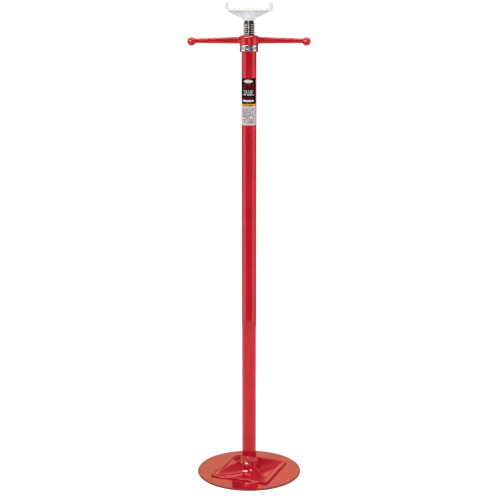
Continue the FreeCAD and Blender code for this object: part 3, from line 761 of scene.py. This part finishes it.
def label_sheet(node, corner_top, corner_bottom):
    """Thin vinyl wrapped on the post, with its corners rounded to the two radii."""
    low, high = span(node)
    inner, outer = POST_RADIUS + 0.02, POST_RADIUS + 0.27
    start, sweep = LABEL_ARCS[node]
    middle, half = math.radians(start + sweep / 2), math.radians(sweep / 2)
    height = high[2] - low[2]
    near_end = np.linspace(0, 4, 9)
    levels = np.unique(np.concatenate([np.linspace(0, height, 40), near_end, height - near_end]))
    shares = np.linspace(-1, 1, 61)
    rows = []
    for level in levels:
        pull = 0.0
        for corner, gap in ((corner_bottom, level), (corner_top, height - level)):
            if gap < corner:
                pull += corner - math.sqrt(max(corner ** 2 - (corner - gap) ** 2, 0.0))
        angles = middle + shares * (half - pull / outer)
        front, back = (ring(radius, low[2] + level, angles) for radius in (outer, inner))
        rows.append(np.concatenate([front, back[::-1]]))
    points, faces = wall(rows)
    around = len(rows[0])
    for first in (0, len(points) - around):
        for k in range(len(shares) - 1):
            strip = (k, k + 1, around - 2 - k, around - 1 - k)
            faces.append(tuple(first + corner for corner in strip))
    return points, faces


def labels(black, grey):
    """The two labels on the front of the post."""
    piece("post_label_upper", label_sheet("front_label", 0.4, 0.4), black, "post",
          ["front_label"], sharp=50.0)
    piece("post_label_lower", label_sheet("data_label", 0.4, 3.2), grey, "post",
          ["data_label"], sharp=50.0)


def bearing(steel):
    """Hardened washers above and below the cage, each with a track that clears the balls."""
    bore, edge_roll, clearance, track_steps = 17.5, 0.7, 0.06, 13
    ball_low, ball_high = span("bearing_balls")
    ball_level = (ball_low[2] + ball_high[2]) / 2
    ball_radius = (ball_high[2] - ball_low[2]) / 2
    circle, track_radius = ball_high[1] - ball_radius, ball_radius + clearance
    for node, name, body in (("bearing_lower_race", "thrust_washer_lower", "post"),
                             ("bearing_upper_race", "thrust_washer_upper", "handle")):
        low, high = span(node)
        face, back = (high[2], low[2]) if body == "post" else (low[2], high[2])
        side = math.copysign(track_radius, face - ball_level)
        reach = math.acos((face - ball_level) / side)
        track = [(circle + track_radius * math.sin(a), ball_level + side * math.cos(a))
                 for a in np.linspace(reach, -reach, track_steps)]
        outline = rounded([(bore, face), (bore, back), (high[0], back), (high[0], face)],
                          edge_roll)
        piece(name, turned(outline + track), steel, body, [node])


# ------------------------ handle


# Levels are above the hub's underside, and each pair is at the hub and at the ball.
HANDLE = {
    "hub_chamfer": 3.4, "bore": 16.1, "bore_chamfer": 1.2,
    "arm": (18.0, 154.0), "arm_end": 158.0, "level": (12.8, 10.9),
    "half_height": (9.6, 6.4), "half_depth": (7.6, 5.5),
    "ball": (162.5, 9.0, 11.98),  # reach, level and radius
}


def handle_field(x, y, z):
    """Cast handle: a hub with its bore, two tapering oval arms and a ball on each."""
    h = HANDLE
    bottom = span("bearing_upper_race")[1][2]
    hub_radius, top = span("spinner_handle")[1][1:]
    rho, reach = np.hypot(x, y), np.abs(x)
    chamfer = (rho - hub_radius + (z - top) + h["hub_chamfer"]) / math.sqrt(2)
    hub = smooth_max(drum_field(rho, z, hub_radius, bottom, top, 1.0), chamfer, 1.2)
    near, far = h["arm"]
    share = np.clip((reach - near) / (far - near), 0, 1)
    half_high, half_deep = mix(*h["half_height"], share), mix(*h["half_depth"], share)
    level = bottom + mix(*h["level"], share)
    oval = np.sqrt((y / half_deep) ** 2 + ((z - level) / half_high) ** 2)
    arm = smooth_max((oval - 1) * 0.5 * (half_high + half_deep), reach - h["arm_end"], 1.0)
    body = smooth_min(hub, arm, 3.2)
    body = np.maximum(body, np.maximum(bottom - z, z - top))
    ball_reach, ball_level, ball_radius = h["ball"]
    ball = np.sqrt((reach - ball_reach) ** 2 + y ** 2 + (z - bottom - ball_level) ** 2)
    body = smooth_min(body, ball - ball_radius, 2.0)
    inward = h["bore"] - rho
    bore = np.maximum(inward, (inward + (z - top) + h["bore_chamfer"]) / math.sqrt(2))
    return np.maximum(body, bore)


def handle(paint):
    """The handle, cast on a grid fine enough for its chamfers."""
    shape = cast(handle_field, *span("spinner_handle"), step=1.1)
    piece("cast_handle", shape, paint, "handle", ["spinner_handle"], sharp=48.0)


# ------------------------ screw and saddle


PITCH, CREST, ROOT = 6.0, 16.0, 12.5
# Radius of the trapezoidal thread at shares of its pitch, with its corners eased.
THREAD = [
    (0.0, CREST), (0.17, CREST), (0.19, CREST - 0.2), (0.33, ROOT + 0.3), (0.35, ROOT),
    (0.65, ROOT), (0.67, ROOT + 0.3), (0.81, CREST - 0.2), (0.83, CREST), (1.0, CREST),
]
KEYWAY_FLOOR, KEYWAY_HALF = 11.8, 4.0


def thread_radius(phase):
    """Radius of the thread at a place given in pitches."""
    return float(np.interp(phase % 1.0, *zip(*THREAD)))


def section(radius, turn):
    """A point on the bar's section: round, with the keyway at its front for turn above 1."""
    if turn <= 1.0:
        gap = math.asin(KEYWAY_HALF / radius)
        a = gap - QUARTER_TURN + turn * (FULL_TURN - 2 * gap)
        return radius * math.cos(a), radius * math.sin(a)
    x = mix(-KEYWAY_HALF, KEYWAY_HALF, turn - 1.0)
    return x, -min(KEYWAY_FLOOR, math.sqrt(radius ** 2 - x ** 2))


def lift_screw(steel):
    """Right-hand trapezoidal screw with a real helix, keyway, neck, pin and lower spigot."""
    low, high = span("lift_screw")
    bottom, neck = span("screw_guide_ring")[1][2], span("saddle")[0][2]
    top = neck - 4.5
    spigot_radius, neck_radius, pin_radius, pin_chamfer = 12.0, 13.0, 10.0, 0.8
    run_out_radius, run_out_slope, arc_steps = ROOT + 0.6, 1.2, 44
    turns = [k / arc_steps for k in range(arc_steps + 1)] + [1.001, 1.25, 1.5, 1.75, 1.999]
    shares = sorted([share for share, _ in THREAD[:-1]] + [0.5])
    first = math.floor(bottom / PITCH) - 1
    last = math.ceil(top / PITCH) + 1
    starts = [(n + s) * PITCH for n in range(first, last) for s in shares]
    columns = []
    for turn in turns:
        helix = PITCH * min(turn, 1.0)
        column = [(spigot_radius, low[2]), (spigot_radius, bottom)]
        for start in starts:
            level = min(max(start + helix, bottom), top)
            run_out = run_out_radius + run_out_slope * min(level - bottom, top - level)
            column.append((min(thread_radius((level - helix) / PITCH), run_out), level))
        column += [(neck_radius, top), (neck_radius, neck), (pin_radius, neck),
                   (pin_radius, high[2] - pin_chamfer), (pin_radius - pin_chamfer, high[2])]
        columns.append([section(r, turn) + (z,) for r, z in column])
    points, faces = wall(columns, closed_rows=True, closed_columns=False)
    length = len(columns[0])
    for end in (0, length - 1):
        faces.append(tuple(k * length + end for k in range(len(turns))))
    piece("lift_screw_bar", (points, faces), steel, "screw", ["lift_screw"],
          sharp=28.0)


# Levels are above the hub's underside.
SADDLE = {
    "floor": 32.1, "under": 27.1, "hub": 18.0,
    "ear": (13.0, 9.2, 1.6),  # how far in it starts, its width at the floor, and its lean
    "end_cut": (5.5, 6.5),  # length and height
    "web_reach": (14.0, 56.0), "web_levels": (2.0, 23.5), "web_half": 7.0,
    "bolt_seat": (17.2, 18.5),  # distance in front of the axis, and height
    "socket": (10.05, 21.0), "bolt_hole": (4.05, 10.5),  # radii, with a depth and a level
}


def cradle_field(x, y, z, bottom, corner):
    """Distance to the saddle's plate, its two leaning ears and the cuts under its ends."""
    half_length, half_depth, top = corner
    floor_level, under, reach = bottom + SADDLE["floor"], bottom + SADDLE["under"], np.abs(x)
    plate = box_field(x, y, z, (-half_length, -half_depth, under),
                      (half_length, half_depth, floor_level), 1.2)
    ear_inset, ear_foot, ear_lean = SADDLE["ear"]
    ear = box_field(reach, y, z, (half_length - ear_inset, -half_depth, under), corner, 1.6)
    lean = ear_lean / (top - floor_level)
    inner = half_length - ear_foot + (z - floor_level) * lean - reach
    ear = smooth_max(ear, inner / math.hypot(1, lean), 1.6)
    cut_length, cut_height = SADDLE["end_cut"]
    slope = cut_length / cut_height
    cut = reach - (half_length - cut_length) - (z - under) * slope
    return smooth_max(smooth_min(plate, ear, 2.0), cut / math.hypot(1, slope), 1.5)


def web_field(x, y, z, bottom):
    """Distance to the flared web between the saddle's hub and its plate."""
    (near, far), (start, end) = SADDLE["web_reach"], SADDLE["web_levels"]
    slope = (far - near) / (end - start)
    flank = (np.abs(x) - near - (z - bottom - start) * slope) / math.hypot(1, slope)
    web = smooth_max(np.abs(y) - SADDLE["web_half"], flank, 1.5)
    return np.maximum(web, np.maximum(bottom + 1.5 - z, z - bottom - SADDLE["under"] - 2.0))


def saddle_field(x, y, z):
    """Forged cradle on a hub, with a web under the plate, a seat for the bolt and two holes."""
    low, high = span("saddle")
    bottom, top, rho = low[2], high[2], np.hypot(x, y)
    hub = drum_field(rho, z, SADDLE["hub"], bottom, bottom + SADDLE["under"] + 2.0, 1.0)
    body = smooth_min(cradle_field(x, y, z, bottom, high), hub, 2.5)
    body = smooth_min(body, web_field(x, y, z, bottom), 1.8)
    body = np.maximum(body, np.maximum(bottom - z, z - top))
    seat_depth, seat_height = SADDLE["bolt_seat"]
    body = np.where(z > bottom + seat_height, body, np.maximum(body, -seat_depth - y))
    socket_radius, socket_depth = SADDLE["socket"]
    socket = np.maximum(rho - socket_radius, z - bottom - socket_depth)
    bolt_radius, bolt_level = SADDLE["bolt_hole"]
    bolt_hole = np.maximum(np.hypot(x, z - bottom - bolt_level) - bolt_radius, y)
    return np.maximum(np.maximum(body, -socket), -bolt_hole)


def saddle(paint):
    """The saddle, on a grid fine enough for its ears."""
    shape = cast(saddle_field, *span("saddle"), step=0.9)
    piece("forged_saddle", shape, paint, "screw", ["saddle"], sharp=48.0)


# Radius of the small face that closes each end of the bolt.
END_FACE = 0.05


def bolt_head(flats, bottom, top, angles):
    """Rows of a hexagon head standing on Z, with its corners chamfered."""
    sixth = FULL_TURN / 6
    hexagon = flats / 2 / np.cos((angles + sixth / 2) % sixth - sixth / 2)
    crown, shoulder = 0.96 * flats / 2, top - 0.1
    corner_drop = np.maximum(hexagon - crown, 0) * math.tan(math.radians(30))
    return [ring(radius, level, angles) for radius, level in (
        (hexagon * 0.98, bottom), (hexagon, bottom + 0.2), (hexagon, shoulder - corner_drop),
        (crown, shoulder), (crown - 0.4, top), (END_FACE, top))]


def set_bolt(paint):
    """Hexagon set bolt on the saddle's hub, pointing along +Y.  It is built standing on Z."""
    low, high = span("saddle_bolt")
    middle, tip, crown = (low[2] + high[2]) / 2, -high[1], -low[1]
    radius, chamfer, flats, head_height = 4.0, 0.8, 13.0, 5.5
    seat = crown - head_height
    angles = np.linspace(0, FULL_TURN, 96, endpoint=False)
    rows = [ring(r, level, angles) for r, level in (
        (END_FACE, tip), (radius - chamfer, tip), (radius, tip + chamfer), (radius, seat))]
    rows += bolt_head(flats, seat, crown, angles)
    points, faces = capped(wall(rows), len(angles))
    points = np.column_stack([points[:, 0], -points[:, 2], points[:, 1] + middle])
    piece("saddle_set_bolt", (points, faces), paint, "screw", ["saddle_bolt"],
          sharp=25.0)


# ------------------------ scene


def dress(node, material):
    """Gives a CAD node that is shown as it is its finish."""
    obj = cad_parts[node]
    obj.data.materials.clear()
    obj.data.materials.append(material)


def matt(name, grain, dark, light, roughness):
    """A surface with no shine, mottled between two greys."""
    material, tree, shader = new_tree(name)
    tone = blend(tree, noise(tree, grain), grey_of(dark), grey_of(light))
    tree.links.new(tone, shader.inputs["Base Color"])
    shader.inputs["Roughness"].default_value = roughness
    shader.inputs["Specular IOR Level"].default_value = 0.0
    return material, shader


def floor():
    """Pale disc under the foot, with a faint glow that hides its far edge."""
    radius, bottom, top = 1500.0, -1.0, -0.05
    outline = [(0.0, bottom), (radius, bottom), (radius, top), (0.0, top)]
    material, shader = matt("studio_floor_finish", 3.0, 0.90, 0.93, roughness=0.9)
    shader.inputs["Emission Color"].default_value = grey_of(1.0)
    shader.inputs["Emission Strength"].default_value = 0.23
    obj = made_object("studio_floor", turned(outline, 96, closed=False), material)


def flag():
    """Dark card behind the foot, with a narrow wing, that only mirror reflections see."""
    back = 300.0
    card = [(-56.0, 150.0), (28.0, 150.0), (28.0, 225.0), (-56.0, 225.0)]
    wing = [(-113.0, 140.0), (-56.0, 140.0), (-56.0, 160.0), (-113.0, 149.0)]
    corners = [(across, back, level) for across, level in card + wing]
    material, _ = matt("studio_flag_cloth", 200.0, 0.01, 0.02, roughness=1.0)
    obj = made_object("studio_flag", (corners, [(0, 1, 2, 3), (4, 5, 6, 7)]), material)
    obj.visible_camera = False
    obj.visible_diffuse = False
    obj.visible_shadow = False


def studio():
    """A dim room with white side panels, a warm sweep behind and a grey ceiling.

    The right panel stops short of the back, and the camera itself sees plain white.
    """
    world = bpy.data.worlds.new("studio")
    bpy.context.scene.world = world
    world.use_nodes = True
    tree = world.node_tree
    tree.nodes.clear()
    way = put(tree, "ShaderNodeTexCoord").outputs["Generated"]
    parts = put(tree, "ShaderNodeSeparateXYZ", {"Vector": way})
    rise, ahead = parts.outputs["Z"], product(tree, parts.outputs["Y"], -1.0)
    on_left = calc(tree, "LESS_THAN", parts.outputs["X"], 0.0)
    panels = product(tree, ranged(tree, ahead, 0.64, 0.58), ranged(tree, ahead, -0.55, -0.02),
                     ranged(tree, rise, 0.12, 0.02),
                     calc(tree, "MAXIMUM", on_left, ranged(tree, ahead, -0.24, -0.10)))
    sweep = product(tree, ranged(tree, ahead, -0.76, -0.88), ranged(tree, rise, 0.03, 0.12))
    ceiling = ranged(tree, rise, 0.50, 0.75)
    tone = blend(tree, panels, grey_of(0.13), rgb(2.0, 2.0, 1.85))
    tone = blend(tree, sweep, tone, rgb(1.05, 0.84, 0.50))
    tone = blend(tree, ceiling, tone, grey_of(0.60))
    lit = put(tree, "ShaderNodeBackground", {"Color": tone, "Strength": 1.0})
    plain = put(tree, "ShaderNodeBackground", {"Color": grey_of(1.0), "Strength": 1.05})
    seen = put(tree, "ShaderNodeLightPath").outputs["Is Camera Ray"]
    both = put(tree, "ShaderNodeMixShader", {0: seen, 1: lit.outputs[0], 2: plain.outputs[0]})
    out = put(tree, "ShaderNodeOutputWorld")
    tree.links.new(both.outputs[0], out.inputs["Surface"])


def lamp(name, at, aim, size, radiance, general=True, mirrored=True):
    """Soft rectangular light.  Radiance is what a mirror would show of it.

    One that isn't general only makes highlights, and one that isn't mirrored makes none.
    """
    light = bpy.data.lights.new(name, "AREA")
    light.shape = "RECTANGLE"
    light.size, light.size_y = size
    light.energy = radiance * math.pi * size[0] * size[1]
    obj = bpy.data.objects.new(name, light)
    bpy.context.scene.collection.objects.link(obj)
    obj.location = at
    obj.rotation_mode = "QUATERNION"
    obj.rotation_quaternion = (Vector(aim) - Vector(at)).to_track_quat("-Z", "Y")
    obj.visible_camera = False
    obj.visible_diffuse = general
    obj.visible_glossy = mirrored


def lights():
    """Key from the upper left with a long glint, fill from the right, top light, front card."""
    lamp("key_softbox", (-2.1, -2.6, 3.0), (0.0, 0.0, 0.8), (1.0, 1.0), 11.5)
    lamp("key_glint", (-2.0, -2.5, 2.9), (0.0, 0.0, 0.0), (3.4, 0.34), 60.0, general=False)
    lamp("fill_softbox", (2.5, -2.9, 2.2), (0.0, 0.0, 0.7), (1.2, 0.9), 8.0, mirrored=False)
    lamp("top_softbox", (0.2, -0.5, 4.2), (0.0, 0.0, 0.5), (2.6, 0.6), 16.0)
    lamp("front_card", (0.0, -7.0, 0.80), (0.0, 0.0, 1.30), (0.60, 0.40), 16.0)


def view():
    """Colours are shown as they are, with no film look."""
    settings = bpy.context.scene.view_settings
    settings.view_transform = "Standard"
    settings.look = "None"


def camera():
    """A little above the stand's top, four metres in front, tilted down at its middle."""
    tilt = math.radians(13.466)
    data = bpy.data.cameras.new("camera")
    data.sensor_width = 36.0
    data.lens = 101.14
    data.clip_end = 50.0
    obj = bpy.data.objects.new("camera", data)
    bpy.context.scene.collection.objects.link(obj)
    obj.location = (0.00277, -4.0, 1.648)
    obj.rotation_euler = (QUARTER_TURN - tilt, 0.0, 0.0)
    bpy.context.scene.camera = obj


def build():
    """Every finish, every part and the studio."""
    red, dark_red = rgb(0.55, 0.008, 0.026), rgb(0.46, 0.006, 0.021)
    pressed_red = enamel("red_enamel", red, dark_red, peel=0.003)
    # Painted light: the tube's copy of the red paint is lighter, and redder in its reflections, than
    # the rest.
    tube_red_painted_lighter = enamel("red_tube_enamel_painted_lighter", rgb(0.60, 0.008, 0.028), rgb(0.51, 0.006, 0.023),
                      peel=0.003, tint=(1.0, 0.42, 0.32))
    cast_red = enamel("red_cast_enamel", red, rgb(0.45, 0.006, 0.021), peel=0.006,
                      cast_grain=0.003, gloss=0.035)
    # The plate's outer rim gets painted shade.
    plate_red = enamel("red_plate_enamel", red, dark_red, peel=0.004, painted_shade_radius=0.1524)
    white = enamel("white_enamel", rgb(0.83, 0.83, 0.86), rgb(0.75, 0.75, 0.79), peel=0.02,
                   cast_grain=0.015, gloss=0.2, index=1.4, tint=(0.8, 0.8, 0.9))
    bright = turned_steel("bright_steel_finish", rgb(0.48, 0.48, 0.47), rgb(0.36, 0.36, 0.35),
                          0.12, 0.26)
    # Painted shade: the cage and balls take this near-black steel so the bearing's gap reads dark.
    dark = turned_steel("dark_steel_gap_shade_finish", grey_of(0.06), grey_of(0.03), 0.3, 0.5)
    zinc = turned_steel("zinc_finish", rgb(0.55, 0.56, 0.58), rgb(0.42, 0.42, 0.40), 0.25, 0.4)

    base_plate(plate_red)
    base_pedestal(pressed_red)
    foot_weld(pressed_red)
    stitch_welds(pressed_red)
    post(tube_red_painted_lighter)
    labels(black_label(), grey_label())
    bearing(bright)
    handle(cast_red)
    lift_screw(screw_steel())
    saddle(white)
    set_bolt(white)
    for node, material in (
            ("guide_key", bright), ("bearing_cage", dark), ("bearing_balls", dark),
            ("screw_guide_ring", dark), ("stop_washer", zinc), ("stop_lock_washer", zinc),
            ("stop_bolt", zinc), ("saddle_lock_washer", white)):
        dress(node, material)

    floor()
    flag()
    studio()
    lights()
    view()
    camera()


build()
bpy.context.view_layer.update()
